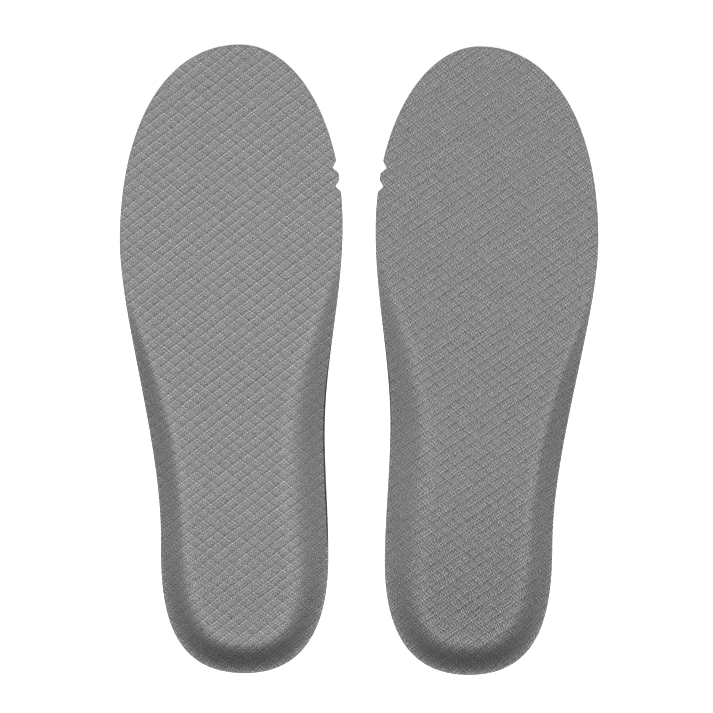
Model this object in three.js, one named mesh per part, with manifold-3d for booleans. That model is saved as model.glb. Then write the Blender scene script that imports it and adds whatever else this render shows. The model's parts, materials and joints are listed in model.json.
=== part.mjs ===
// A pair of cushioned shoe insoles, left and right, lying side by side on their undersides.
// Millimetres. +Z is up, +Y points to the toes and +X to the right foot's side. The origin is on the
// floor, midway between the two insoles and halfway along them.
//
// Each insole is a laminate of three full-length layers: a fabric top cover, a comfort foam sheet and a
// moulded footbed with a raised heel cup and side walls. A heel pad and a forefoot pad sit in recesses in
// the footbed's underside. A layer bends at the toe flex line, so it is made as a rear and a front length.

import * as THREE from 'three';
import { mergeVertices } from 'three/addons/utils/BufferGeometryUtils.js';
import Module from 'manifold-3d';

const { clamp, lerp, smoothstep, degToRad } = THREE.MathUtils;
const wasm = await Module();
wasm.setup();

// ---- Driving dimensions -------------------------------------------------------------------------------

const LENGTH = 270; // heel back to toe tip
const PAIR_WIDTH = 206; // over both insoles, at the balls of the feet
const OUTER_REACH = 55; // from an insole's lengthwise datum to its outer edge

const HEEL_THICKNESS = 8; // under the middle of the heel
const FOREFOOT_THICKNESS = 5.5; // from the ball to the toes
const TAPER_START = 85; // distances from the back of the heel
const TAPER_END = 155;

const COVER_THICKNESS = 0.9;
const FOAM_THICKNESS = 1.6;
const BOND_GAP = 0.3; // the adhesive film between two layers

// The raised wall: its width seen from above, its height over the flat, how far its foot stands in from
// its rim (flare), how softly it leaves the flat (fold), and how far its straight slope is turned into an
// S-shaped one that levels off at the rim (crown).
const HEEL_WALL = { width: 12.5, height: 13.2, flare: 3, fold: 0.3, crown: 0.8 };
const ARCH_WALL = { width: 15, height: 13.5, flare: 8, fold: 0.3, crown: 0, endsAt: 187 };
const OUTER_WALL = { width: 9.5, height: 10.5, flare: 5, fold: 0.12, crown: 0, endsAt: 170 };
const HEEL_WALL_UP_TO = 10; // the heel wall's shape holds to here,
const SIDE_WALL_FROM = 75; // and has become the side walls' shape here
const WALL_FADES_FROM = 85;
const HEIGHT_FADE = 1.5; // a power: a fading wall loses its height sooner than its width
const EDGE_BAND = 3; // the border where there is no wall

const FLEX_INNER = new THREE.Vector2(41, 190); // the toe flex line, from edge to edge
const FLEX_OUTER = new THREE.Vector2(-55, 171);
const FLEX_GAP = 0.4;

const NOTCH_SHARES = [0.19, 0.273]; // the two size notches, along the edge from ball to toe tip
const NOTCH_DEPTH = 2;
const NOTCH_WIDTH = 5;

const HEEL_PAD = { x: 0, y: 46, halfWidth: 21, halfLength: 30, thickness: 3 };
const FOREFOOT_PAD = { x: -6, y: 219, halfWidth: 29, halfLength: 20, thickness: 1.2 };
const PAD_CLEARANCE = 0.3;

const SIDE_POINTS = 32; // around each side, from heel back to toe tip
const WALL_STEPS = 6; // from rim to fold
const CUTTER_SIZE = 400; // larger than an insole

// ---- The outline --------------------------------------------------------------------------------------

// The left insole's landmarks, from its datum at the back of the heel. The outline runs from one to the
// next in the direction `heading` (degrees from +X), and `before` and `after` are its handles' lengths.
const HEEL_BACK = { x: 0, y: 0, heading: 0, before: 33, after: 28 };
const HEEL_INNER = { x: 36, y: 49, heading: 90, before: 26, after: 19 };
const WAIST_INNER = { x: 34, y: 105, heading: 90, before: 17.5, after: 30 };
const BALL_INNER = { x: 41, y: 191, heading: 90, before: 29.5, after: 46.5 };
const TOE_TIP = { x: -3.5, y: LENGTH, heading: 180, before: 23.5, after: 31.5 };
const BALL_OUTER = { x: -OUTER_REACH, y: 186, heading: 270, before: 50.5, after: 33 };
const HEEL_OUTER = { x: -36, y: 56, heading: 270, before: 44, after: 26 };

function handle(landmark, distance) {
  const angle = degToRad(landmark.heading);
  return new THREE.Vector2(
    landmark.x + distance * Math.cos(angle),
    landmark.y + distance * Math.sin(angle),
  );
}

function curveBetween(from, to) {
  const start = new THREE.Vector2(from.x, from.y);
  const end = new THREE.Vector2(to.x, to.y);
  return new THREE.CubicBezierCurve(start, handle(from, from.after), handle(to, -to.before), end);
}

function edge(...landmarks) {
  const path = new THREE.CurvePath();
  landmarks.slice(1).forEach((landmark, i) => path.add(curveBetween(landmarks[i], landmark)));
  return path;
}

const innerEdge = edge(HEEL_BACK, HEEL_INNER, WAIST_INNER, BALL_INNER, TOE_TIP);
const outerEdge = edge(TOE_TIP, BALL_OUTER, HEEL_OUTER, HEEL_BACK);

// Evenly spaced stations along an edge, each with its direction into the insole, without the last one.
function stations(path) {
  return Array.from({ length: SIDE_POINTS }, (_, i) => {
    const point = path.getPointAt(i / SIDE_POINTS);
    const along = path.getTangentAt(i / SIDE_POINTS);
    return { point, inward: new THREE.Vector2(-along.y, along.x) };
  });
}

// The whole outline, anticlockwise from the heel. Stations i and (count - i) face each other.
const outline = [...stations(innerEdge), ...stations(outerEdge)];

// ---- The top surface ----------------------------------------------------------------------------------

function wallAt({ x, y }) {
  const side = x > 0 ? ARCH_WALL : OUTER_WALL;
  const fromHeelToSide = smoothstep(y, HEEL_WALL_UP_TO, SIDE_WALL_FROM);
  const blend = (key) => lerp(HEEL_WALL[key], side[key], fromHeelToSide);
  const faded = clamp((y - WALL_FADES_FROM) / (side.endsAt - WALL_FADES_FROM), 0, 1);
  const presence = Math.cos((Math.PI / 2) * faded);
  return {
    width: Math.max(EDGE_BAND, blend('width') * presence),
    height: blend('height') * presence ** HEIGHT_FADE,
    flare: blend('flare') * presence,
    fold: blend('fold'),
    crown: blend('crown'),
  };
}

function flatHeight(y) {
  return lerp(HEEL_THICKNESS, FOREFOOT_THICKNESS, smoothstep(y, TAPER_START, TAPER_END));
}

// How high a wall has climbed at a share of the way over it (0 fold, 1 rim), as a share of its height.
function climb({ fold, crown }, share) {
  const straight = (Math.hypot(share, fold) - fold) / (Math.hypot(1, fold) - fold);
  return lerp(straight, Math.sin((Math.PI / 2) * share) ** 2, crown);
}

// A point of the top surface, at a station and a share of the way over its wall.
function topPoint(station, share) {
  const wall = wallAt(station.point);
  const plan = station.point.clone().addScaledVector(station.inward, wall.width * (1 - share));
  return new THREE.Vector3(plan.x, plan.y, flatHeight(plan.y) + wall.height * climb(wall, share));
}

// The top surface's rings, from the rim to the fold.
const topRings = Array.from({ length: WALL_STEPS + 1 }, (_, step) =>
  outline.map((station) => topPoint(station, 1 - step / WALL_STEPS)),
);

function lowered(rings, depth) {
  const drop = new THREE.Vector3(0, 0, -depth);
  return rings.map((ring) => ring.map((point) => point.clone().add(drop)));
}

// ---- Closed bodies ------------------------------------------------------------------------------------

// Closes a ring with strips that run straight across between facing stations, seen anticlockwise.
function capTriangles(count, firstVertex) {
  const triangles = [[0, 1, count - 1]];
  for (let i = 1; i < count / 2; i += 1) {
    triangles.push([i, i + 1, count - i]);
    if (i + 1 < count / 2) triangles.push([i + 1, count - i - 1, count - i]);
  }
  return triangles.map((triangle) => triangle.map((vertex) => vertex + firstVertex));
}

// One closed body from rings listed from the middle of its underside, out and round to its top.
function loft(rings) {
  const count = rings[0].length;
  const index = capTriangles(count, 0).flatMap(([a, b, c]) => [a, c, b]);
  for (let ring = 0; ring < rings.length - 1; ring += 1) {
    for (let i = 0; i < count; i += 1) {
      const a = ring * count + i;
      const b = ring * count + ((i + 1) % count);
      index.push(a, b, b + count, a, b + count, a + count);
    }
  }
  index.push(...capTriangles(count, (rings.length - 1) * count).flat());
  const geometry = new THREE.BufferGeometry().setFromPoints(rings.flat());
  geometry.setIndex(index);
  return geometry;
}

function solid(geometry) {
  const shared = geometry.clone();
  shared.deleteAttribute('normal');
  shared.deleteAttribute('uv');
  const merged = mergeVertices(shared);
  const vertProperties = new Float32Array(merged.getAttribute('position').array);
  const triVerts = new Uint32Array(merged.getIndex().array);
  return new wasm.Manifold(new wasm.Mesh({ numProp: 3, vertProperties, triVerts }));
}

function geometryOf(manifold) {
  const { vertProperties, triVerts } = manifold.getMesh();
  const geometry = new THREE.BufferGeometry();
  geometry.setAttribute('position', new THREE.BufferAttribute(vertProperties, 3));
  geometry.setIndex(new THREE.BufferAttribute(triVerts, 1));
  geometry.computeVertexNormals();
  return geometry;
}

// ---- Layers -------------------------------------------------------------------------------------------

// A sheet that follows the top surface between two depths below it.
function sheet(topDepth, bottomDepth) {
  const underside = lowered(topRings, bottomDepth).reverse();
  return solid(loft([...underside, ...lowered(topRings, topDepth)]));
}

// The footbed is flat underneath, and its sides lean out from there to the rim.
function footbed(topDepth) {
  const foot = outline.map(({ point, inward }) => {
    const plan = point.clone().addScaledVector(inward, wallAt(point).flare);
    return new THREE.Vector3(plan.x, plan.y, 0);
  });
  return solid(loft([foot, ...lowered(topRings, topDepth)]));
}

// An oval slab whose underside is at the floor, or below it by `overshoot` when it cuts a recess.
function ovalSlab({ x, y, halfWidth, halfLength, thickness }, growth = 0, overshoot = 0) {
  const oval = new THREE.Shape();
  oval.absellipse(x, y, halfWidth + growth, halfLength + growth, 0, 2 * Math.PI, false, 0);
  const depth = thickness + growth + overshoot;
  const slab = new THREE.ExtrudeGeometry(oval, { depth, bevelEnabled: false, curveSegments: 18 });
  return slab.translate(0, 0, -overshoot);
}

// A V-shaped notch, cut through every layer at a share of the way from the ball to the toe tip.
function notchCutter(share) {
  const toeCurve = curveBetween(BALL_INNER, TOE_TIP);
  const mouth = toeCurve.getPointAt(share);
  const along = toeCurve.getTangentAt(share);
  const inward = new THREE.Vector2(-along.y, along.x);
  const corner = (alongEdge, intoInsole) =>
    mouth.clone().addScaledVector(along, alongEdge).addScaledVector(inward, intoInsole);
  const wedge = new THREE.Shape([
    corner(-NOTCH_WIDTH, -NOTCH_DEPTH),
    corner(NOTCH_WIDTH, -NOTCH_DEPTH),
    corner(0, NOTCH_DEPTH),
  ]);
  const slab = new THREE.ExtrudeGeometry(wedge, { depth: CUTTER_SIZE, bevelEnabled: false });
  return solid(slab.translate(0, 0, -CUTTER_SIZE / 2));
}

// All the space on one side of the toe flex line: 1 for the toes, -1 for the heel.
function flexSide(direction) {
  const line = FLEX_INNER.clone().sub(FLEX_OUTER);
  const middle = FLEX_INNER.clone().add(FLEX_OUTER).multiplyScalar(0.5);
  const block = new THREE.BoxGeometry(CUTTER_SIZE, CUTTER_SIZE, CUTTER_SIZE);
  block.translate(0, (direction * (CUTTER_SIZE + FLEX_GAP)) / 2, 0);
  block.rotateZ(line.angle());
  return solid(block.translate(middle.x, middle.y, 0));
}

const notches = NOTCH_SHARES.map(notchCutter);

// A layer's front and rear lengths, with the notches cut out.
function lengths(layer) {
  const notched = notches.reduce((body, notch) => body.subtract(notch), layer);
  return [notched.intersect(flexSide(1)), notched.intersect(flexSide(-1))].map(geometryOf);
}

// ---- Pieces -------------------------------------------------------------------------------------------

const foamDepth = COVER_THICKNESS + BOND_GAP;
const footbedDepth = foamDepth + FOAM_THICKNESS + BOND_GAP;
const recesses = [HEEL_PAD, FOREFOOT_PAD].map((pad) => solid(ovalSlab(pad, PAD_CLEARANCE, PAD_CLEARANCE)));
const recessedFootbed = recesses.reduce((body, recess) => body.subtract(recess), footbed(footbedDepth));

const [coverFront, coverRear] = lengths(sheet(0, COVER_THICKNESS));
const [foamFront, foamRear] = lengths(sheet(foamDepth, foamDepth + FOAM_THICKNESS));
const [footbedFront, footbedRear] = lengths(recessedFootbed);

const coverFabric = { color: 0x8c8b8d, roughness: 0.85, metalness: 0 };
const comfortFoam = { color: 0x3a3a3d, roughness: 0.95, metalness: 0 };
const footbedFoam = { color: 0x2b2b2e, roughness: 0.9, metalness: 0 };
const padRubber = { color: 0x55565a, roughness: 0.7, metalness: 0 };

const pieces = [
  ['top_cover_front', coverFront, coverFabric],
  ['top_cover_rear', coverRear, coverFabric],
  ['comfort_foam_front', foamFront, comfortFoam],
  ['comfort_foam_rear', foamRear, comfortFoam],
  ['footbed_front', footbedFront, footbedFoam],
  ['footbed_rear', footbedRear, footbedFoam],
  ['forefoot_pad', ovalSlab(FOREFOOT_PAD), padRubber],
  ['heel_pad', ovalSlab(HEEL_PAD), padRubber],
];

// The pieces of one insole, shifted from the insole's datum to its place in the pair.
function insole(foot) {
  const group = new THREE.Group();
  for (const [name, geometry, finish] of pieces) {
    const mesh = new THREE.Mesh(geometry, new THREE.MeshStandardMaterial(finish));
    mesh.name = `${foot}_${name}`;
    mesh.position.set(OUTER_REACH - PAIR_WIDTH / 2, -LENGTH / 2, 0);
    group.add(mesh);
  }
  return group;
}

const rightInsole = insole('right');
rightInsole.scale.x = -1; // the right insole is the left one's mirror image

const group = new THREE.Group();
group.add(insole('left'), rightInsole);

export default group;
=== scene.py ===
"""The looks of a pair of cushioned insoles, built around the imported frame.

Lengths are in metres. The few tables written in millimetres say so, and MM turns them into metres.
"""

import json
import math

import bpy
import numpy as np
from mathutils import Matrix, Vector, geometry
from mathutils.kdtree import KDTree


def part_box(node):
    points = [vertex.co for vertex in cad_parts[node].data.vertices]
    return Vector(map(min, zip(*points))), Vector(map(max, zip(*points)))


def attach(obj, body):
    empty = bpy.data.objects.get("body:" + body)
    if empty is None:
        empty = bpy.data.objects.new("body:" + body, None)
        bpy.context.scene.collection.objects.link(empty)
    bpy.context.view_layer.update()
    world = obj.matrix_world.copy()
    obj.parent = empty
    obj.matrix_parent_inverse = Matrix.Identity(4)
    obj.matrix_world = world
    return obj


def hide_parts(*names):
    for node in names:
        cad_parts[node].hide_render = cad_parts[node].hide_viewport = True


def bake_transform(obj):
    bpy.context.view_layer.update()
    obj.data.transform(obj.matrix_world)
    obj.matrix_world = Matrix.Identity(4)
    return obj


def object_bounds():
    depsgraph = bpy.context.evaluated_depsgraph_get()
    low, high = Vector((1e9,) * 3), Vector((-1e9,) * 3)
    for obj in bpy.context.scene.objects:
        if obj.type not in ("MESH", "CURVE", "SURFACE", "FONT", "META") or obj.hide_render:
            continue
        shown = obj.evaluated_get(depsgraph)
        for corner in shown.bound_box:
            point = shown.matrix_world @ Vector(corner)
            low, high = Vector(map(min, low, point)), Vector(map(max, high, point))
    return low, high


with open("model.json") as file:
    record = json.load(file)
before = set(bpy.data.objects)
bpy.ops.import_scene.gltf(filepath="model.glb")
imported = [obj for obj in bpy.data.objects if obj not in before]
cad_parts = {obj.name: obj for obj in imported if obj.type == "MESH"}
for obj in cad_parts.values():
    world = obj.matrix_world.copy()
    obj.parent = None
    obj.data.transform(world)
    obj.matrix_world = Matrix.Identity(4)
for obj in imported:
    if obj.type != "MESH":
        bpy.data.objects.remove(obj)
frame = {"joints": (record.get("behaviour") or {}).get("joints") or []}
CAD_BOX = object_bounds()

# ---- Sizes and places, from the frame ------------------------------------------------------------------

FRONT_LOW, FRONT_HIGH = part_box("left_top_cover_front")
REAR_LOW, REAR_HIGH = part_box("left_top_cover_rear")
FOAM_LOW, FOAM_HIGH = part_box("left_comfort_foam_front")

DRAWN_LENGTH = 270  # in the drawing's own millimetres
MM = (FRONT_HIGH.y - REAR_LOW.y) / DRAWN_LENGTH  # one millimetre of the drawing, at the frame's size
INNER_REACH = 41 * MM  # from the lengthwise datum to the inner edge, at the ball of the foot
DATUM_X = max(FRONT_HIGH.x, REAR_HIGH.x) - INNER_REACH
DATUM_Y = REAR_LOW.y

FOREFOOT_TOP = FRONT_HIGH.z
ARCH_HEIGHT = 13.5 * MM  # the arch wall is the highest one, and makes the rear cover's highest point
HEEL_TOP = REAR_HIGH.z - ARCH_HEIGHT
TAPER_START, TAPER_END = 85 * MM, 155 * MM  # distances from the back of the heel
COVER_THICKNESS = FRONT_HIGH.z - FRONT_LOW.z
FOAM_THICKNESS = FOAM_HIGH.z - FOAM_LOW.z
BOND_GAP = 0.08 * MM  # drawn thinner than the frame's, so that the layers read as bonded

# The raised wall: width seen from above, height over the flat, how far its foot stands in from its rim
# (flare), how softly it leaves the flat (fold), and how far it levels off at the rim (crown).
HEEL_WALL = {"width": 12.5 * MM, "height": 13.2 * MM, "flare": 3 * MM, "fold": 0.3, "crown": 0.8}
ARCH_WALL = {"width": 15 * MM, "height": ARCH_HEIGHT, "flare": 8 * MM, "fold": 0.3, "crown": 0.0}
OUTER_WALL = {"width": 9.5 * MM, "height": 10.5 * MM, "flare": 5 * MM, "fold": 0.12, "crown": 0.0}
HEEL_TO_SIDE = (10 * MM, 75 * MM)  # where the heel wall turns into the side walls
FADE_FROM, ARCH_ENDS, OUTER_ENDS = 85 * MM, 187 * MM, 170 * MM
HEIGHT_FADE = 1.5  # a power: a fading wall loses its height sooner than its width
FULL_WALL_HEIGHT = 4 * MM  # a lower wall marks and stretches the cloth less
EDGE_BAND = 3 * MM  # the border where there is no wall

# The left insole's outline: x, y, direction of travel in degrees, and the handles before and after. The
# lengths are in millimetres.
LANDMARKS = [
    (0, 0, 0, 33, 28),  # back of the heel
    (36, 49, 90, 26, 19),  # inner side of the heel
    (34, 105, 90, 17.5, 30),  # waist
    (41, 191, 90, 29.5, 46.5),  # ball, inner side
    (-3.5, 270, 180, 23.5, 31.5),  # toe tip
    (-55, 186, 270, 50.5, 33),  # ball, outer side
    (-36, 56, 270, 44, 26),  # outer side of the heel
]
CURVE_POINTS = 400  # from landmark to landmark, before the outline is divided evenly
EDGE_STEP = 0.6 * MM
TANGENT_REACH = 0.5 * MM  # the outline's direction is taken over this length each way
NOTCHES = (209.6 * MM, 217.7 * MM)  # distances from the back of the heel, on the inner edge
NOTCH_DEPTH = 2.2 * MM
NOTCH_HALF_WIDTH = 2.7 * MM
NOTCH_STEP = 0.22 * MM
NOTCH_ROUNDING = 0.3  # 0 is a straight V and 1 a round one

GRID_STEP = 2 * MM  # between the mesh points inside a smooth surface
KEEP_INSIDE = 1  # the filling option that keeps only the triangles inside the loop
SAME_POINT = 1e-8  # points closer than this are one point

TOE_FLEX = next(joint for joint in frame["joints"] if joint["name"] == "left_toe_flex")
FLEX_BEHIND, FLEX_AHEAD = 10 * MM, 24 * MM  # the stretch that bends, about the hinge


# ---- The outline and the top surface -------------------------------------------------------------------


def smoothstep(value, low, high):
    t = np.clip((value - low) / (high - low), 0, 1)
    return t * t * (3 - 2 * t)


def heading(degrees):
    """The unit vector in plan at an angle from +X."""
    angle = math.radians(degrees)
    return np.array([math.cos(angle), math.sin(angle)])


def bezier(start, end):
    """Points along one stretch of the outline, from landmark to landmark, without the last one."""
    t = np.linspace(0, 1, CURVE_POINTS, endpoint=False)[:, None]
    p0, p3 = np.array(start[:2]), np.array(end[:2])
    p1 = p0 + heading(start[2]) * start[4]
    p2 = p3 - heading(end[2]) * end[3]
    return ((1 - t) ** 3 * p0 + 3 * (1 - t) ** 2 * t * p1 + 3 * (1 - t) * t**2 * p2 + t**3 * p3) * MM


def wall_at(x, y):
    """The wall's measures at points of the outline."""
    inner = x > 0
    faded = (y - FADE_FROM) / (np.where(inner, ARCH_ENDS, OUTER_ENDS) - FADE_FROM)
    presence = np.cos(np.pi / 2 * np.clip(faded, 0, 1))
    to_side = smoothstep(y, *HEEL_TO_SIDE)
    mixed = {
        key: HEEL_WALL[key] + (np.where(inner, ARCH_WALL[key], OUTER_WALL[key]) - HEEL_WALL[key]) * to_side
        for key in HEEL_WALL
    }
    return {
        "width": np.maximum(EDGE_BAND, mixed["width"] * presence),
        "height": mixed["height"] * presence**HEIGHT_FADE,
        "flare": mixed["flare"] * presence,
        "fold": mixed["fold"],
        "crown": mixed["crown"],
    }


def plan_tree(points):
    """A search tree of plan points."""
    tree = KDTree(len(points))
    for i, (x, y) in enumerate(points):
        tree.insert((x, y, 0), i)
    tree.balance()
    return tree


class Insole:
    """One insole's plan and heights, in frame coordinates. `mirror` is 1 on the left and -1 on the right."""

    def __init__(self, foot, mirror):
        self.foot, self.mirror = foot, mirror
        curve = np.vstack([bezier(a, b) for a, b in zip(LANDMARKS, LANDMARKS[1:] + LANDMARKS[:1])])
        closed = np.vstack([curve, curve[:1]])
        run = np.concatenate([[0], np.cumsum(np.linalg.norm(np.diff(closed, axis=0), axis=1))])

        def outline_at(distance):
            around = distance % run[-1]
            return np.stack([np.interp(around, run, closed[:, i]) for i in (0, 1)], axis=1)

        toe = closed[:, 1].argmax()
        notch_runs = np.interp(NOTCHES, closed[:toe, 1], run[:toe])
        even = np.linspace(0, run[-1], round(run[-1] / EDGE_STEP), endpoint=False)
        clear = np.abs(even[:, None] - notch_runs).min(1) > NOTCH_HALF_WIDTH + NOTCH_STEP
        fine = np.arange(-NOTCH_HALF_WIDTH, NOTCH_HALF_WIDTH + NOTCH_STEP / 2, NOTCH_STEP)
        at = np.sort(np.concatenate([even[clear], *(fine + notch_run for notch_run in notch_runs)]))

        local = outline_at(at)
        along = outline_at(at + TANGENT_REACH) - outline_at(at - TANGENT_REACH)
        along /= np.linalg.norm(along, axis=1)[:, None]
        inward = np.stack([-along[:, 1], along[:, 0]], axis=1)
        into_notch = 1 - np.abs(at[:, None] - notch_runs).min(1) / NOTCH_HALF_WIDTH
        straight, rounded = np.clip(into_notch, 0, 1), smoothstep(into_notch, 0, 1)
        notch = NOTCH_DEPTH * ((1 - NOTCH_ROUNDING) * straight + NOTCH_ROUNDING * rounded)
        if mirror < 0:  # keep the outline anticlockwise
            local, inward, notch = local[::-1], inward[::-1], notch[::-1]
        self.local, self.notch = local, notch
        self.inward = inward * [mirror, 1]
        self.plan = (local + [DATUM_X, DATUM_Y]) * [mirror, 1]
        self.wall = wall_at(local[:, 0], local[:, 1])
        self.tree = plan_tree(self.plan)

    def loop(self, inset):
        """The outline moved inwards by an inset, with its notches."""
        return self.plan + self.inward * (inset + self.notch)[:, None]

    def nearest(self, plan):
        """The outline station nearest to each plan point, and the point's distance inside it."""
        station = np.array([self.tree.find((x, y, 0))[1] for x, y in plan])
        inset = ((plan - self.plan[station]) * self.inward[station]).sum(1)
        return station, inset

    def up_wall(self, station, inset):
        """How far points are over their wall, seen from above: 0 on the flat and 1 at the rim."""
        return np.clip(1 - inset / self.wall["width"][station], 0, 1)

    def top(self, plan):
        """The height of the moulded top surface."""
        station, inset = self.nearest(plan)
        share = self.up_wall(station, inset)
        fold, crown = self.wall["fold"][station], self.wall["crown"][station]
        straight = (np.hypot(share, fold) - fold) / (np.hypot(1, fold) - fold)
        climb = straight + (np.sin(np.pi / 2 * share) ** 2 - straight) * crown
        taper = smoothstep(plan[:, 1] - DATUM_Y, TAPER_START, TAPER_END)
        flat = HEEL_TOP + (FOREFOOT_TOP - HEEL_TOP) * taper
        return flat + self.wall["height"][station] * climb

    def body(self, part):
        return f"{self.foot}_{part}"


# ---- Meshes --------------------------------------------------------------------------------------------


def at_height(plan, height):
    """Points over plan points, at one height or at one each."""
    return np.column_stack([plan, np.broadcast_to(height, len(plan))])


def fill(loop, inside):
    """Triangles that fill a closed plan loop, through the points inside it."""
    points = [Vector(p) for p in np.vstack([loop, inside])]
    made = geometry.delaunay_2d_cdt(points, [], [list(range(len(loop)))], KEEP_INSIDE, SAME_POINT)
    if len(made[0]) != len(points):
        raise ValueError("plan points are too close together")
    return made[2]


def inside_only(insole, points, margin):
    """The points that lie inside the notched outline by at least a margin."""
    station, inset = insole.nearest(points)
    return points[inset > margin + insole.notch[station]]


def plan_grid(insole, step):
    """A square grid of plan points, one step clear of the outline."""
    low, high = insole.plan.min(0), insole.plan.max(0)
    xs, ys = np.arange(low[0], high[0], step), np.arange(low[1], high[1], step)
    grid = np.stack(np.meshgrid(xs, ys), axis=-1).reshape(-1, 2)
    return inside_only(insole, grid, step)


def ring_faces(ring_count, count):
    """The faces between neighbouring rings of `count` points each."""
    faces = []
    for ring in range(ring_count - 1):
        for i in range(count):
            a, b = ring * count + i, ring * count + (i + 1) % count
            faces.append((a, a + count, b + count, b))
    return faces


def new_piece(name, vertices, faces):
    mesh = bpy.data.meshes.new(name)
    mesh.from_pydata(vertices.tolist(), [], faces)
    mesh.polygons.foreach_set("use_smooth", [True] * len(mesh.polygons))
    mesh.update()
    piece = bpy.data.objects.new(name, mesh)
    bpy.context.scene.collection.objects.link(piece)
    return piece


def layer_piece(name, rings, top, bottom):
    """One closed body: rings round its edge from the top down, with the points inside its top and bottom."""
    count = len(rings[0])
    first_top = len(rings) * count
    first_bottom = first_top + len(top)
    last_ring = first_top - count
    faces = []
    for face in fill(rings[0][:, :2], top[:, :2]):
        faces.append([v if v < count else v - count + first_top for v in face])
    faces += ring_faces(len(rings), count)
    for face in fill(rings[-1][:, :2], bottom[:, :2]):
        faces.append([v + last_ring if v < count else v - count + first_bottom for v in reversed(face)])
    return new_piece(name, np.vstack([*rings, top, bottom]), faces)


def points_of(mesh):
    flat = np.empty(3 * len(mesh.vertices))
    mesh.vertices.foreach_get("co", flat)
    return flat.reshape(-1, 3)


def bend_at_toes(piece, insole):
    """Bakes a full-length piece's placing into its mesh; it neither bends it nor attaches it to a body."""
    pivot = Vector(TOE_FLEX["pos_m"])
    axis = Vector(TOE_FLEX["axis"])
    ahead = Vector((-axis.y, axis.x, 0)).normalized()
    start, end = pivot - ahead * FLEX_BEHIND, pivot + ahead * FLEX_AHEAD
    for point in (start, end):
        point.x *= insole.mirror
    insole.body("rear")
    insole.body("front")
    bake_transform(piece)


def finish_piece(piece, material, slot, *nodes):
    piece.data.materials.append(material)
    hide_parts(*nodes)


# ---- The padding's swell: a cloth simulation of one insole, whose rise both of them share --------------

SWELL_VOXEL = 4 * MM
SWELL_PRESSURE = 4
SWELL_LAST_FRAME = 20
SWELL_CAP = 0.9 * MM  # as far as a point may rise
SWELL_SPREAD = 5 * MM  # how far the simulated points are smoothed into a surface
SWELL_NEIGHBOURS = 14


def evaluated(piece):
    return piece.evaluated_get(bpy.context.evaluated_depsgraph_get())


def inflate(insole):
    """Plan points of an insole's top, and how far each one rises when its padded bed is inflated as cloth."""
    grid = plan_grid(insole, SWELL_VOXEL)
    rim = insole.loop(0)
    rings = [at_height(rim, insole.top(rim)), at_height(rim, 0)]
    body = layer_piece("swell_body", rings, at_height(grid, insole.top(grid)), at_height(grid, 0))
    remesh = body.modifiers.new("even", "REMESH")
    remesh.mode = "VOXEL"
    remesh.voxel_size = SWELL_VOXEL
    body.data = bpy.data.meshes.new_from_object(evaluated(body))
    body.modifiers.clear()

    rest = points_of(body.data)
    plan = rest[:, :2]
    on_top = rest[:, 2] > insole.top(plan) - SWELL_VOXEL / 2
    on_flat = insole.up_wall(*insole.nearest(plan)) == 0
    pins = body.vertex_groups.new(name="pinned")
    pins.add(np.flatnonzero(~(on_top & on_flat)).tolist(), 1.0, "REPLACE")
    cloth = body.modifiers.new("swell", "CLOTH")
    cloth.settings.vertex_group_mass = pins.name
    cloth.settings.use_pressure = True
    cloth.settings.uniform_pressure_force = SWELL_PRESSURE
    cloth.settings.effector_weights.gravity = 0
    for frame_number in range(1, SWELL_LAST_FRAME + 1):
        bpy.context.scene.frame_set(frame_number)
    risen = points_of(evaluated(body).data)
    bpy.context.scene.frame_set(1)
    bpy.data.objects.remove(body)
    rise = SWELL_CAP * np.tanh(np.maximum(0, (risen - rest)[:, 2]) / SWELL_CAP)
    return plan[on_top], rise[on_top]


class Swell:
    """The smooth rise of the padding over the moulded surface, zero at the rim and on the walls."""

    def __init__(self, insole):
        points, self.rise = inflate(insole)
        self.tree = plan_tree(points)

    def at(self, insole, plan):
        rises = []
        for x, y in plan * [insole.mirror, 1]:
            near = self.tree.find_n((x, y, 0), SWELL_NEIGHBOURS)
            weights = np.exp([-((distance / SWELL_SPREAD) ** 2) for _, _, distance in near])
            rises.append(weights @ self.rise[[i for _, i, _ in near]] / weights.sum())
        return np.array(rises)


# ---- The top cover's shape -----------------------------------------------------------------------------

# The knitted diamond pattern is two families of raised lines, each with a groove along one side. These
# are the families' angles from +X, in degrees, and their pitches. The right cover is cut half a turn round.
WEAVE = {
    "left": ((37.9, 3.74 * MM), (-36.4, 3.83 * MM)),
    "right": ((214.2, 3.76 * MM), (140.1, 3.59 * MM)),
}
LINE_STEPS = (0.0, 0.09, 0.18, 0.27, 0.38, 0.64, 0.91)  # mesh lines across one pitch
FAMILY_RELIEF = (0.075 * MM, 0.04 * MM)  # the height of each family's lines
LINE_SPREAD = 0.075  # half the width of a line or a groove, in pitches
GROOVE_PLACE = 0.27  # from a line to its groove, in pitches
GROOVE_SHARE = 0.6  # a groove's depth, as a share of its line's height
RELIEF_UNEVENNESS = (0.75, 1.25)  # the lines' height, from diamond to diamond, as a share of its mean
RELIEF_CELLS = 64  # diamonds each way before that height repeats
RELIEF_SEED = 8
STRETCHED_LOSS = 0.5  # the part of the relief that is lost halfway up a wall
STRAY_WAVES = 12  # the slow waves by which the cloth's lines stray from straight
STRAY_LENGTHS = (7 * MM, 28 * MM)
STRAY_REACH = 0.045 * MM  # the height of each of those waves
STRAY_SEED = 4

# The cover's edge from the top down: inset in millimetres, and depth as a share of the thickness.
COVER_EDGE = ((0.24, 0.02), (0.1, 0.1), (0.02, 0.3), (0.0, 0.6), (0.08, 0.9), (0.3, 1.0))
COVER_MARGIN = 0.55 * MM  # the knit's mesh points stop this far inside the edge
EDGE_FLATTENED = (0.4 * MM, 1.5 * MM)  # the relief begins and is whole, this far inside the cut edge

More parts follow.
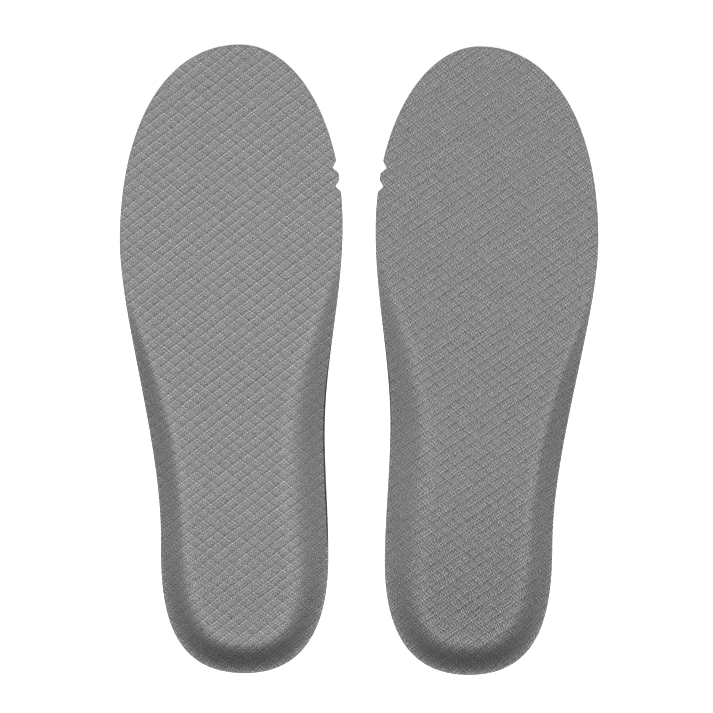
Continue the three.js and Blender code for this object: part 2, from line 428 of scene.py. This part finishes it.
# The cover is trimmed short of the footbed's rim on the inner side, and leaves a dark foam line: how short,
# and where along the insole the line begins and ends.
TRIMS = {
    "left": {"depth": 0.7 * MM, "begins": (52 * MM, 62 * MM), "ends": (118 * MM, 158 * MM)},
    "right": {"depth": 0.45 * MM, "begins": (88 * MM, 108 * MM), "ends": (125 * MM, 162 * MM)},
}
HIGHLIGHT_PLACE, HIGHLIGHT_SPREAD = 0.18, 0.16  # the painted highlight inside a fold, in widths of its wall


def stray(plan):
    """How far the cloth is dragged out of its straight pattern at plan points."""
    random = np.random.default_rng(STRAY_SEED)
    drift = np.zeros_like(plan)
    for length in np.geomspace(*STRAY_LENGTHS, STRAY_WAVES):
        travel, pull, phase = random.uniform(0, 2 * np.pi, 3)
        distance = plan @ [math.cos(travel), math.sin(travel)]
        height = STRAY_REACH * np.sin(2 * np.pi * distance / length + phase)
        drift += height[:, None] * [math.cos(pull), math.sin(pull)]
    return drift


def weave_coordinates(insole, plan):
    """How many line pitches each plan point is across the two families of lines."""
    plan = plan - stray(plan)
    coordinates = []
    for degrees, pitch in WEAVE[insole.foot]:
        along = heading(degrees)
        coordinates.append((plan[:, 1] * along[0] - plan[:, 0] * along[1]) / pitch)
    return np.stack(coordinates, axis=1)


def weave_points(insole):
    """Plan points where the mesh lines of the two families cross."""
    low, high = insole.plan.min(0), insole.plan.max(0)
    corners = np.array([(x, y) for x in (low[0], high[0]) for y in (low[1], high[1])])
    reach = weave_coordinates(insole, corners)
    first, last = np.floor(reach.min(0)), np.ceil(reach.max(0))
    lines = [(np.arange(first[i], last[i])[:, None] + LINE_STEPS).ravel() for i in (0, 1)]
    (degrees_a, pitch_a), (degrees_b, pitch_b) = WEAVE[insole.foot]
    across_a, across_b = (grid.reshape(-1, 1) for grid in np.meshgrid(*lines))
    crossing = across_a * pitch_a * heading(degrees_b) - across_b * pitch_b * heading(degrees_a)
    points = crossing / math.sin(math.radians(degrees_b) - math.radians(degrees_a))
    return points + stray(points)


def relief(weave, up_wall):
    """The height of the knitted lines and grooves over the moulded surface, lower where it is stretched."""

    def ridge(middle):
        away = weave - middle - np.round(weave - middle)
        return np.exp(-((away / LINE_SPREAD) ** 2))

    profile = ridge(0) - GROOVE_SHARE * ridge(GROOVE_PLACE)
    random = np.random.default_rng(RELIEF_SEED)
    uneven = random.uniform(*RELIEF_UNEVENNESS, (2, RELIEF_CELLS, RELIEF_CELLS))
    cell = np.floor(weave).astype(int) % RELIEF_CELLS
    line = np.round(weave).astype(int) % RELIEF_CELLS
    strength = np.stack([uneven[0, line[:, 0], cell[:, 1]], uneven[1, cell[:, 0], line[:, 1]]], axis=1)
    stretched = 1 - STRETCHED_LOSS * np.sin(np.pi * up_wall)
    return (profile * strength * FAMILY_RELIEF).sum(1) * stretched


def inner_trim(insole):
    """How short of the rim the cover is trimmed, at each point of the outline."""
    trim = TRIMS[insole.foot]
    x, y = insole.local.T
    return trim["depth"] * (x > 0) * smoothstep(y, *trim["begins"]) * (1 - smoothstep(y, *trim["ends"]))


def add_attribute(piece, name, values):
    """Gives each point of a piece's mesh a number or, from three columns, a vector."""
    kind, field = ("FLOAT", "value") if values.ndim == 1 else ("FLOAT_VECTOR", "vector")
    attribute = piece.data.attributes.new(name, kind, "POINT")
    attribute.data.foreach_set(field, values.ravel().astype(np.float32))


def mark_cover(piece, insole, edge_points):
    """Tells the cover's material where its points are: on the knit, over a wall, by a fold, on the edge."""
    plan = points_of(piece.data)[:, :2]
    station, inset = insole.nearest(plan)
    wall_is_whole = smoothstep(insole.wall["height"][station], 0, FULL_WALL_HEIGHT)
    up_wall = insole.up_wall(station, inset) * wall_is_whole
    add_attribute(piece, "weave", np.column_stack([weave_coordinates(insole, plan), up_wall]))
    past_fold = inset / insole.wall["width"][station] - 1
    # a band of painted highlight just inside each fold
    highlight_band = np.exp(-(((past_fold - HIGHLIGHT_PLACE) / HIGHLIGHT_SPREAD) ** 2))
    add_attribute(piece, "fold_highlight", highlight_band * wall_is_whole)
    on_edge = np.zeros(len(plan))
    on_edge[edge_points] = 1
    add_attribute(piece, "cut_edge", on_edge)


def build_cover(insole, material, swell):
    """The knitted sheet: its mesh lines follow the knit, so that the lines and grooves are real relief."""
    trim = inner_trim(insole)
    rings = []
    for inset, depth in COVER_EDGE:
        plan = insole.loop(inset * MM + trim)
        rings.append(at_height(plan, insole.top(plan) + swell(insole, plan) - depth * COVER_THICKNESS))

    plan = inside_only(insole, weave_points(insole), COVER_MARGIN + TRIMS[insole.foot]["depth"])
    station, inset = insole.nearest(plan)
    from_edge = inset - insole.notch[station] - trim[station]
    lines = relief(weave_coordinates(insole, plan), insole.up_wall(station, inset))
    lines *= smoothstep(from_edge, *EDGE_FLATTENED)
    top = at_height(plan, insole.top(plan) + lines + swell(insole, plan))

    plan = plan_grid(insole, GRID_STEP)
    bottom = at_height(plan, insole.top(plan) + swell(insole, plan) - COVER_THICKNESS)

    piece = layer_piece(f"{insole.foot}_top_cover", rings, top, bottom)
    ring_points = len(insole.plan)
    mark_cover(piece, insole, slice(ring_points, len(rings) * ring_points))
    finish_piece(piece, material, "cover_fabric", f"{piece.name}_front", f"{piece.name}_rear")
    bend_at_toes(piece, insole)


# ---- The foam layers and the pads ----------------------------------------------------------------------

# The comfort foam's edge from the top down: inset in millimetres, and depth as a share of the thickness.
FOAM_EDGE = ((0.35, 0.0), (0.12, 0.08), (0.05, 0.35), (0.05, 0.65), (0.12, 0.92), (0.35, 1.0))

BED_DEPTH = COVER_THICKNESS + FOAM_THICKNESS + 2 * BOND_GAP  # the footbed's top, under the moulded surface
BED_RIM = ((0.6, 0.0), (0.25, 0.05), (0.05, 0.3), (0.0, 0.6))  # the rounded rim: inset and drop, in mm
BED_SIDE_SHARES = np.linspace(0.1, 1, 14)  # of the way down the outer face, for its rings
BED_SIDE_TOP = 0.5 * MM  # the outer face starts this far under the rim
BED_FOOT = 1.2 * MM  # the radius of the rounding at the floor
FLARE_POWER = 0.9  # how evenly the outer face leans in; lower is straighter
UNDERSIDE_STEP = 2.5 * MM

PADS = ("heel_pad", "forefoot_pad")
OVAL_POINTS = 160
RECESS_CLEARANCE = 0.1 * MM  # over a pad
RECESS_LIP = ((0.9, 0.0), (0.6, 0.06), (0.42, 0.3))  # beyond the pad's edge, and height: both in mm
RECESS_WALL = 0.3 * MM  # beyond the pad's edge, at the full depth
GRID_CLEARS = (-1.0 * MM, 1.8 * MM)  # the underside's grid keeps out of this band about a pad's edge

# A pad from the middle of its top out and round its edge: share of the radius, and of the thickness.
PAD_PROFILE = ((0.02, 1.0), (0.5, 1.0), (0.97, 1.0), (0.995, 0.93), (1.0, 0.8), (1.0, 0.2), (0.99, 0.06))
PAD_UNDERSIDE = np.linspace(0.975, 0.02, 90)  # shares of the radius, for the rings underneath
PAD_GROOVES = 4
PAD_GROOVE_DEPTH = 0.35 * MM
PAD_GROOVE_SHARPNESS = 8  # a power: higher is narrower


def build_foam(insole, material, swell):
    """The soft sheet that swells under the cover. Its underside keeps the moulded shape."""
    top_depth = COVER_THICKNESS + BOND_GAP
    rings = []
    for inset, depth in FOAM_EDGE:
        plan = insole.loop(inset * MM)
        height = insole.top(plan) + swell(insole, plan) * (1 - depth)
        rings.append(at_height(plan, height - top_depth - depth * FOAM_THICKNESS))
    plan = plan_grid(insole, GRID_STEP)
    moulded = insole.top(plan) - top_depth
    top = at_height(plan, moulded + swell(insole, plan))
    bottom = at_height(plan, moulded - FOAM_THICKNESS)
    piece = layer_piece(f"{insole.foot}_comfort_foam", rings, top, bottom)
    finish_piece(piece, material, "comfort_foam", f"{piece.name}_front", f"{piece.name}_rear")
    bend_at_toes(piece, insole)


def oval_size(node, growth):
    """The centre and the radii in plan of an oval pad's node, grown outwards."""
    low, high = (np.array(corner[:2]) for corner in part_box(node))
    return (low + high) / 2, (high - low) / 2 + growth


def oval(node, growth=0.0, reach=1.0):
    """Plan points round an oval pad's node: at its grown edge, or a share of the way out to it."""
    centre, radii = oval_size(node, growth)
    turn = np.linspace(0, 2 * np.pi, OVAL_POINTS, endpoint=False)
    return centre + np.column_stack([np.cos(turn), np.sin(turn)]) * radii * reach


def oval_reach(node, plan, growth):
    """How far out plan points are on an oval pad: 0 at its centre and 1 at its grown edge."""
    centre, radii = oval_size(node, growth)
    return np.linalg.norm((plan - centre) / radii, axis=1)


def bed_rings(insole):
    """The footbed's edge: a rounded rim, an outer face that leans in by the wall's flare, a rounded foot."""
    rim_height = insole.top(insole.loop(0)) - BED_DEPTH
    flare = insole.wall["flare"]
    rings = [at_height(insole.loop(inset * MM), rim_height - drop * MM) for inset, drop in BED_RIM]
    for share in BED_SIDE_SHARES:
        inset = flare * (1 - math.cos(share * math.pi / 2)) ** FLARE_POWER
        height = (rim_height - BED_SIDE_TOP) * (1 - share) + BED_FOOT * share
        rings.append(at_height(insole.loop(inset), height))
    for degrees in (30, 60, 90):
        turn = math.radians(degrees)
        inset = flare + BED_FOOT * (1 - math.cos(turn))
        rings.append(at_height(insole.loop(inset), BED_FOOT * (1 - math.sin(turn))))
    return rings


def bed_underside(insole):
    """Points of the footbed's flat underside, with a round-lipped recess for each pad."""
    grid = plan_grid(insole, UNDERSIDE_STEP)
    station, inset = insole.nearest(grid)
    grid = grid[inset > insole.wall["flare"][station] + insole.notch[station] + UNDERSIDE_STEP]
    points = []
    for pad in PADS:
        node = f"{insole.foot}_{pad}"
        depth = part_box(node)[1].z + RECESS_CLEARANCE
        within = oval_reach(node, grid, GRID_CLEARS[0]) < 1
        beyond = oval_reach(node, grid, GRID_CLEARS[1]) > 1
        points.append(at_height(grid[within], depth))
        points += [at_height(oval(node, growth * MM), height * MM) for growth, height in RECESS_LIP]
        points.append(at_height(oval(node, RECESS_WALL), depth))
        grid = grid[beyond]
    return np.vstack([*points, at_height(grid, 0)])


def build_footbed(insole, material):
    """The moulded body under the foam, with the walls' outer faces and the pads' recesses."""
    plan = plan_grid(insole, GRID_STEP)
    top = at_height(plan, insole.top(plan) - BED_DEPTH)
    piece = layer_piece(f"{insole.foot}_footbed", bed_rings(insole), top, bed_underside(insole))
    finish_piece(piece, material, "footbed_foam", f"{piece.name}_front", f"{piece.name}_rear")
    bend_at_toes(piece, insole)


def build_pad(insole, pad, material):
    """An oval cushion with a rounded edge, and round grooves underneath."""
    node = f"{insole.foot}_{pad}"
    low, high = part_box(node)
    heights = [(reach, share * (high.z - low.z)) for reach, share in PAD_PROFILE]
    for reach in PAD_UNDERSIDE:
        groove = max(0.0, math.cos(2 * math.pi * PAD_GROOVES * reach)) ** PAD_GROOVE_SHARPNESS
        heights.append((reach, groove * PAD_GROOVE_DEPTH))
    rings = [at_height(oval(node, reach=reach), low.z + height) for reach, height in heights]
    first_of_last = (len(rings) - 1) * OVAL_POINTS
    top_cap = list(range(OVAL_POINTS))
    bottom_cap = [first_of_last + i for i in reversed(range(OVAL_POINTS))]
    faces = [top_cap, bottom_cap, *ring_faces(len(rings), OVAL_POINTS)]
    piece = new_piece(f"{node}_cushion", np.vstack(rings), faces)
    finish_piece(piece, material, "pad_rubber", node)
    if pad == "heel_pad":
        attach(piece, insole.body("rear"))
    else:
        bend_at_toes(piece, insole)


# ---- Materials -----------------------------------------------------------------------------------------

# The look of each cover, in tones from 0 to 1: how pale its lines are, partly paler yarn and partly painted
# highlight on their lit side; how dark the painted shade in the groove beside each line is; how dark the
# painted shade on the flat of the heel cup is; the painted light on its walls against the flat ground, which
# is painted shade where it is below 0; and the ground itself. The line strengths are for the toes, the middle
# and the heel. Each fine wave of the knit is its crests in one pitch across the first family of lines, across
# the second, and its strength.
COVER_LOOKS = {
    "left": {
        "line": 0.074,
        "groove": 0.064,
        "painted_heel_shade": 0.022,
        "line_strengths": (1.0, 1.06, 0.82),
        "painted_wall_light": -0.014,
        "ground": 0.532,
        "tint": (1.0, 0.985, 1.015),
        "waves": (
            (3, 0, 1.0),
            (0, 3, 0.9),
            (4, 0, 0.9),
            (0, 4, 0.9),
            (4, -3, 1.0),
            (3, -4, 1.0),
            (2, 2, 0.6),
        ),
    },
    "right": {
        "line": 0.026,
        "groove": 0.078,
        "painted_heel_shade": 0.046,
        "line_strengths": (0.8, 1.08, 1.05),
        "painted_wall_light": 0.011,
        "ground": 0.522,
        "tint": (1.0, 0.97, 0.985),
        "waves": (
            (3, 0, 0.9),
            (0, 3, 1.3),
            (4, 0, 1.4),
            (2, -4, 1.8),
            (4, -1, 1.0),
            (4, -2, 1.2),
            (1, -4, 1.0),
        ),
    },
}
KNIT_ROUGHNESS = 0.85
KNIT_SHEEN, KNIT_SHEEN_ROUGHNESS = 0.1, 0.5
LINE_REACH = 0.12  # from the middle of a pale line or a groove's painted shade to where its tone ends, in pitches
LINE_UNEVENNESS = 0.5  # how much the lines' tone differs from diamond to diamond
DOT_DEPTH = 0.6  # how strongly the stitches dot a line
SECOND_FAMILY = 0.65  # the strength of the second family of lines against the first
MINOR_PLACES = (0.43, 0.7)  # from a line to the two fainter ridges before the next line, in pitches
MINOR_TONE = 0.02
STITCHES = 3  # in one pitch
YARNS = 10  # in one pitch
WAVE_TONE = 0.02  # the even part of a fine wave
WAVE_UNEVENNESS = 0.11  # and its random part
YARN_UNEVENNESS = 0.11
FAMILY_LAYERS, YARN_LAYER = (8, 7), 9  # of random values; the fine waves use the layers from 0 up
LINE_IN_CELL = 0.4  # from a random cell's edge to the line in it, in pitches, so that its groove is in it too
HEEL_KNIT_GAIN = 0.2  # how much coarser the fine knit looks at the heel
HEEL_WHOLE, HEEL_ENDS = DATUM_Y + 15 * MM, DATUM_Y + 110 * MM  # where the heel's own look is whole, and ends
TOES_BEGIN, TOES_WHOLE = DATUM_Y + 150 * MM, DATUM_Y + 250 * MM  # and the toes' own look
WORN_SCALE, WORN_RANGE = 0.25, (0.85, 1.15)  # slow changes in the lines' strength
WORN_NOISE = (0.3, 0.7)  # the noise values where those changes end
PATCH_SCALE, PATCH_TONE = 0.3, 0.02  # slow changes in the ground
KNIT_NOISE_DETAIL = 2.0
STRETCH_BEGINS, STRETCH_WHOLE = 0.0, 0.4  # of the way up or down a wall
STRETCHED_PATTERN, STRETCHED_KNIT = 0.35, 0.8  # what stretching leaves of them
PAINTED_WALL_LIGHT_REACH = (0.1, 0.5)  # of the way up a wall, for the walls' painted light
# how much paler the painted highlight inside each fold makes the cover
HIGHLIGHT_TONE = 0.022
CUT_EDGE_TONE = 0.08  # how much darker the cover's cut edge is
STITCH_HEIGHT, STITCH_STRENGTH = 0.08 * MM, 0.5
DISPLAY_GAMMA = 2.2  # the cover's tones are as seen, and its colour is linear

# The look of each foam: its darkest and lightest colours, the size of its cells, its roughness and the
# height of its grain.
FOAM_LOOKS = {
    "comfort_foam_open": {
        "dark": (0.02, 0.02, 0.022),
        "light": (0.085, 0.085, 0.092),
        "cell_size": 0.5 * MM,
        "roughness": 0.95,
        "grain": 0.1 * MM,
    },
    "footbed_skin": {
        "dark": (0.008, 0.008, 0.01),
        "light": (0.06, 0.06, 0.066),
        "cell_size": 1.0 * MM,
        "roughness": 0.75,
        "grain": 0.25 * MM,
    },
    "pad_rubber_skin": {
        "dark": (0.05, 0.051, 0.057),
        "light": (0.13, 0.132, 0.145),
        "cell_size": 0.9 * MM,
        "roughness": 0.6,
        "grain": 0.1 * MM,
    },
}
SPECK_CELLS = 2.5  # the spacing of the places where a speck may be, in foam cells
SPECK_LOT = (0.72, 0.8)  # the random value from which a place has a speck, and from which it is whole
SPECK_EDGE = (0.12, 0.3)  # of the spacing, from the middle of a speck
DIMPLE_CELLS = 2  # the size of the skin's dimples, in foam cells
FOAM_PATCH = 9 * MM
CELL_WEIGHT, PATCH_WEIGHT, DIMPLE_WEIGHT, SPECK_WEIGHT = 0.4, 0.35, 0.25, 0.8  # their shares of the tone
DIMPLE_HEIGHT = 1.5  # against the cells' height
GRAIN_STRENGTH = 0.7
FOAM_NOISE_DETAIL = 3.0


class Shader:
    """A new principled material, with short calls that add and link its nodes."""

    def __init__(self, name, roughness):
        self.material = bpy.data.materials.new(name)
        self.material.use_nodes = True
        self.tree = self.material.node_tree
        self.surface = self.tree.nodes["Principled BSDF"]
        self.feed(self.surface.inputs["Roughness"], roughness)

    def node(self, kind, inputs=None, **settings):
        made = self.tree.nodes.new(kind)
        for key, value in settings.items():
            setattr(made, key, value)
        for key, value in (inputs or {}).items():
            self.feed(made.inputs[key], value)
        return made

    def feed(self, socket, value):
        if isinstance(value, bpy.types.NodeSocket):
            self.tree.links.new(value, socket)
        else:
            socket.default_value = value

    def math(self, operation, *values, clamp=False):
        made = self.node("ShaderNodeMath", operation=operation, use_clamp=clamp)
        for socket, value in zip(made.inputs, values):
            self.feed(socket, value)
        return made.outputs[0]

    def vector(self, operation, *values):
        made = self.node("ShaderNodeVectorMath", operation=operation)
        for socket, value in zip(made.inputs, values):
            self.feed(socket, value)
        return made.outputs["Value" if operation == "DOT_PRODUCT" else "Vector"]

    def attribute(self, name, output):
        return self.node("ShaderNodeAttribute", attribute_name=name).outputs[output]

    def place(self):
        """The point on the piece, in metres."""
        return self.node("ShaderNodeTexCoord").outputs["Object"]

    def noise(self, vector, scale, detail):
        made = self.node("ShaderNodeTexNoise", {"Vector": vector, "Scale": scale, "Detail": detail})
        return made.outputs["Fac"]

    def cells(self, vector, scale):
        """A cell pattern's distance from the middle of each cell, and its random colour."""
        made = self.node("ShaderNodeTexVoronoi", {"Vector": vector, "Scale": scale})
        return made.outputs["Distance"], made.outputs["Color"]

    def remap(self, value, low, high, to_low=0.0, to_high=1.0):
        made = self.node("ShaderNodeMapRange", interpolation_type="SMOOTHSTEP")
        for socket, number in zip(made.inputs, (value, low, high, to_low, to_high)):
            self.feed(socket, number)
        return made.outputs[0]

    def color(self, tone, low_color, high_color):
        """Colours the surface by a tone from 0 to 1."""
        made = self.node("ShaderNodeMix", data_type="RGBA")
        self.feed(made.inputs["Factor"], tone)
        self.feed(made.inputs["A"], (*low_color, 1))
        self.feed(made.inputs["B"], (*high_color, 1))
        self.feed(self.surface.inputs["Base Color"], made.outputs["Result"])

    def bump(self, height, distance, strength):
        made = self.node("ShaderNodeBump", {"Height": height, "Distance": distance, "Strength": strength})
        self.feed(self.surface.inputs["Normal"], made.outputs[0])


class Knit(Shader):
    """Knitted polyester: fine stitches, pale dotted lines, and painted shade in a groove along each line."""

    def __init__(self, name, look):
        super().__init__(name, KNIT_ROUGHNESS)
        self.look = look
        self.weave = self.attribute("weave", "Vector")
        parts = self.node("ShaderNodeSeparateXYZ", {"Vector": self.weave}).outputs
        self.across = (parts["X"], parts["Y"])
        self.up_wall = parts["Z"]
        self.on_edge = self.attribute("cut_edge", "Fac")
        self.off_edge = self.math("SUBTRACT", 1.0, self.on_edge)
        along = self.node("ShaderNodeSeparateXYZ", {"Vector": self.place()}).outputs["Y"]
        self.at_heel = self.remap(along, HEEL_WHOLE, HEEL_ENDS, 1.0, 0.0)
        self.at_toes = self.remap(along, TOES_BEGIN, TOES_WHOLE)
        self.stitch_rows = (self.wave(STITCHES, 0), self.wave(0, STITCHES))

    def random_cell(self, count, layer, shift=(0, 0)):
        """A random value from -0.5 to 0.5 in each cell, with `count` cells to a pitch both ways."""
        scaled = self.vector("MULTIPLY_ADD", self.weave, (count, count, 0), (*shift, layer))
        cell = self.vector("FLOOR", scaled)
        value = self.node("ShaderNodeTexWhiteNoise", {"Vector": cell}).outputs["Value"]
        return self.math("SUBTRACT", value, 0.5)

    def band(self, coordinate, middle):
        """1 on a line at one place in every pitch, fading to 0 beside it."""
        away = self.math("PINGPONG", self.math("SUBTRACT", coordinate, middle), 0.5)
        return self.remap(away, 0.0, LINE_REACH, 1.0, 0.0)

    def wave(self, first, second):
        """A wave with a number of crests in one pitch across each family of lines."""
        turns = (first * 2 * math.pi, second * 2 * math.pi, 0)
        return self.math("COSINE", self.vector("DOT_PRODUCT", self.weave, turns))

    def family(self, axis):
        """One family's lines, dotted by the stitches that cross them, with painted shade in their grooves."""
        across, crossing_rows = self.across[axis], self.stitch_rows[1 - axis]
        pale = self.look["line"]
        dots = self.math("MULTIPLY_ADD", crossing_rows, DOT_DEPTH * pale, pale)
        lines = self.math("MULTIPLY", self.band(across, 0), dots)
        for middle in MINOR_PLACES:
            lines = self.math("MULTIPLY_ADD", self.band(across, middle), MINOR_TONE, lines)
        # painted shade in the groove beside each line
        lines = self.math("MULTIPLY_ADD", self.band(across, GROOVE_PLACE), -self.look["groove"], lines)
        shift = (LINE_IN_CELL, 0) if axis == 0 else (0, LINE_IN_CELL)
        random = self.random_cell(1, FAMILY_LAYERS[axis], shift)
        return self.math("MULTIPLY", lines, self.math("MULTIPLY_ADD", random, LINE_UNEVENNESS, 1.0))

    def pattern(self):
        """The diamonds of both families, stronger or weaker by patches and along the foot."""
        lines = self.math("MULTIPLY_ADD", self.family(1), SECOND_FAMILY, self.family(0))
        worn = self.remap(self.noise(self.weave, WORN_SCALE, KNIT_NOISE_DETAIL), *WORN_NOISE, *WORN_RANGE)
        lines = self.math("MULTIPLY", lines, self.math("MULTIPLY", worn, self.off_edge))
        toes, middle, heel = self.look["line_strengths"]
        strength = self.math("MULTIPLY_ADD", self.at_toes, toes - middle, middle)
        strength = self.math("MULTIPLY_ADD", self.at_heel, heel - middle, strength)
        return self.math("MULTIPLY", lines, strength)

    def fine_knit(self):
        """The stitches, as waves on the diamonds' own grid, and the random yarns."""
        knit = self.math("MULTIPLY", self.random_cell(YARNS, YARN_LAYER), YARN_UNEVENNESS)
        for layer, (first, second, strength) in enumerate(self.look["waves"]):
            uneven = self.random_cell(STITCHES, layer)
            amount = self.math("MULTIPLY_ADD", uneven, WAVE_UNEVENNESS * strength, WAVE_TONE * strength)
            knit = self.math("MULTIPLY_ADD", self.wave(first, second), amount, knit)
        return self.math("MULTIPLY", knit, self.math("MULTIPLY_ADD", self.at_heel, HEEL_KNIT_GAIN, 1.0))

    def stretched(self, part, left):
        """A part of the knit, down to a share of it where a wall stretches the cloth, midway up."""
        from_level = self.math("PINGPONG", self.up_wall, 0.5)
        return self.math("MULTIPLY", part, self.remap(from_level, STRETCH_BEGINS, STRETCH_WHOLE, 1.0, left))

    def build(self):
        """Adds up the pattern, the knit, and painted light and shade at the folds, the heel and the walls."""
        tone = self.math("ADD", self.stretched(self.pattern(), STRETCHED_PATTERN), self.look["ground"])
        tone = self.math("ADD", self.stretched(self.fine_knit(), STRETCHED_KNIT), tone)
        # painted highlight: a paler band just inside each fold
        tone = self.math("MULTIPLY_ADD", self.attribute("fold_highlight", "Fac"), HIGHLIGHT_TONE, tone)
        # painted shade on the flat of the heel cup
        on_flat = self.remap(self.up_wall, STRETCH_BEGINS, STRETCH_WHOLE, 1.0, 0.0)
        shaded_heel_flat = self.math("MULTIPLY", self.at_heel, on_flat)
        tone = self.math("MULTIPLY_ADD", shaded_heel_flat, -self.look["painted_heel_shade"], tone)
        # painted light over the walls; a value below 0 paints shade there instead
        over_wall = self.remap(self.up_wall, *PAINTED_WALL_LIGHT_REACH)
        tone = self.math("MULTIPLY_ADD", over_wall, self.look["painted_wall_light"], tone)
        tone = self.math("MULTIPLY_ADD", self.on_edge, -CUT_EDGE_TONE, tone)
        patchy = self.math("SUBTRACT", self.noise(self.weave, PATCH_SCALE, KNIT_NOISE_DETAIL), 0.5)
        tone = self.math("MULTIPLY_ADD", patchy, PATCH_TONE, tone, clamp=True)
        self.color(self.math("POWER", tone, DISPLAY_GAMMA), (0, 0, 0), self.look["tint"])
        self.feed(self.surface.inputs["Sheen Weight"], KNIT_SHEEN)
        self.feed(self.surface.inputs["Sheen Roughness"], KNIT_SHEEN_ROUGHNESS)
        stitches = self.math("MULTIPLY", *self.stitch_rows)
        self.bump(stitches, STITCH_HEIGHT, self.math("MULTIPLY", self.off_edge, STITCH_STRENGTH))
        return self.material


def foam_material(name, dark, light, cell_size, roughness, grain):
    """Moulded closed-cell foam: fine cells, a few pale specks, faint patches and a grainy skin."""
    shader = Shader(name, roughness)
    place = shader.place()
    cells, _ = shader.cells(place, 1 / cell_size)
    from_speck, lot = shader.cells(place, 1 / (SPECK_CELLS * cell_size))
    on_speck = shader.remap(from_speck, *SPECK_EDGE, 1.0, 0.0)
    speck = shader.math("MULTIPLY", on_speck, shader.remap(lot, *SPECK_LOT))
    patchy = shader.noise(place, 1 / FOAM_PATCH, FOAM_NOISE_DETAIL)
    dimples = shader.noise(place, 1 / (DIMPLE_CELLS * cell_size), FOAM_NOISE_DETAIL)
    tone = shader.math("MULTIPLY_ADD", cells, CELL_WEIGHT, shader.math("MULTIPLY", patchy, PATCH_WEIGHT))
    tone = shader.math("MULTIPLY_ADD", dimples, DIMPLE_WEIGHT, tone)
    tone = shader.math("MULTIPLY_ADD", speck, SPECK_WEIGHT, tone, clamp=True)
    shader.color(tone, dark, light)
    shader.bump(shader.math("MULTIPLY_ADD", dimples, DIMPLE_HEIGHT, cells), grain, GRAIN_STRENGTH)
    return shader.material


# ---- Stage ---------------------------------------------------------------------------------------------

FLOOR_HALF = 3.0
FLOOR_DROP = 0.2 * MM  # under the insoles
FLOOR_COLOR, FLOOR_ROUGHNESS, FLOOR_SHINE = (0.9, 0.9, 0.9, 1), 0.9, 0.1
FLOOR_GLOW = 0.92  # keeps the floor white, with only a faint shadow
WHITE = (1, 1, 1, 1)
FILL_STRENGTH = 0.12  # the background's strength as a light
BACKDROP_STRENGTH = 1.0  # and as the camera sees it
SUN_STRENGTH = 3.03
SUN_ANGLE = math.radians(24)  # how wide, and so how soft, the light is
SUN_TILT = math.radians(25.5)  # from straight overhead towards the heel end
VIEW_WIDTH = 307 * MM
VIEW_CENTRE = (-0.7 * MM, 1.2 * MM)
CAMERA_ROLL = math.radians(0.45)
LENS, SENSOR = 500, 36  # millimetres of the camera's own
NEAREST_SEEN, FARTHEST_SEEN = 0.1, 20


def build_floor():
    corners = np.array([(-1, -1, 0), (1, -1, 0), (1, 1, 0), (-1, 1, 0)]) * FLOOR_HALF
    floor = new_piece("floor", corners, [(0, 1, 2, 3)])
    floor.location.z = CAD_BOX[0].z - FLOOR_DROP
    shader = Shader("floor_white", FLOOR_ROUGHNESS)
    shader.feed(shader.surface.inputs["Base Color"], FLOOR_COLOR)
    shader.feed(shader.surface.inputs["Specular IOR Level"], FLOOR_SHINE)
    shader.feed(shader.surface.inputs["Emission Color"], WHITE)
    shader.feed(shader.surface.inputs["Emission Strength"], FLOOR_GLOW)
    floor.data.materials.append(shader.material)


def build_studio():
    """Soft light from high over the heel end, with a weak fill from all round."""
    world = bpy.data.worlds.new("studio")
    world.use_nodes = True
    background = world.node_tree.nodes["Background"].inputs
    background["Color"].default_value = WHITE
    path = world.node_tree.nodes.new("ShaderNodeLightPath")
    strength = world.node_tree.nodes.new("ShaderNodeMapRange")
    strength.inputs["To Min"].default_value = FILL_STRENGTH
    strength.inputs["To Max"].default_value = BACKDROP_STRENGTH
    world.node_tree.links.new(path.outputs["Is Camera Ray"], strength.inputs["Value"])
    world.node_tree.links.new(strength.outputs["Result"], background["Strength"])
    bpy.context.scene.world = world
    sun = bpy.data.lights.new("overhead", "SUN")
    sun.energy, sun.angle = SUN_STRENGTH, SUN_ANGLE
    lamp = bpy.data.objects.new("overhead", sun)
    lamp.rotation_euler = (SUN_TILT, 0, 0)
    bpy.context.scene.collection.objects.link(lamp)
    bpy.context.scene.view_settings.view_transform = "Standard"


def build_camera():
    """Straight down on the pair from far away, turned by a small roll, with a long lens."""
    data = bpy.data.cameras.new("camera")
    data.lens, data.sensor_width = LENS, SENSOR
    data.clip_start, data.clip_end = NEAREST_SEEN, FARTHEST_SEEN
    camera = bpy.data.objects.new("camera", data)
    camera.location = (*VIEW_CENTRE, VIEW_WIDTH * LENS / SENSOR)
    camera.rotation_euler = (0, 0, CAMERA_ROLL)
    bpy.context.scene.collection.objects.link(camera)
    bpy.context.scene.camera = camera


# ---- The scene -----------------------------------------------------------------------------------------

fabrics = {foot: Knit(f"cover_knit_{foot}", look).build() for foot, look in COVER_LOOKS.items()}
foams = {name: foam_material(name, **look) for name, look in FOAM_LOOKS.items()}

left_insole, right_insole = Insole("left", 1), Insole("right", -1)
swell = Swell(left_insole).at

for insole in (left_insole, right_insole):
    build_cover(insole, fabrics[insole.foot], swell)
    build_foam(insole, foams["comfort_foam_open"], swell)
    build_footbed(insole, foams["footbed_skin"])
    for pad in PADS:
        build_pad(insole, pad, foams["pad_rubber_skin"])

build_floor()
build_studio()
build_camera()
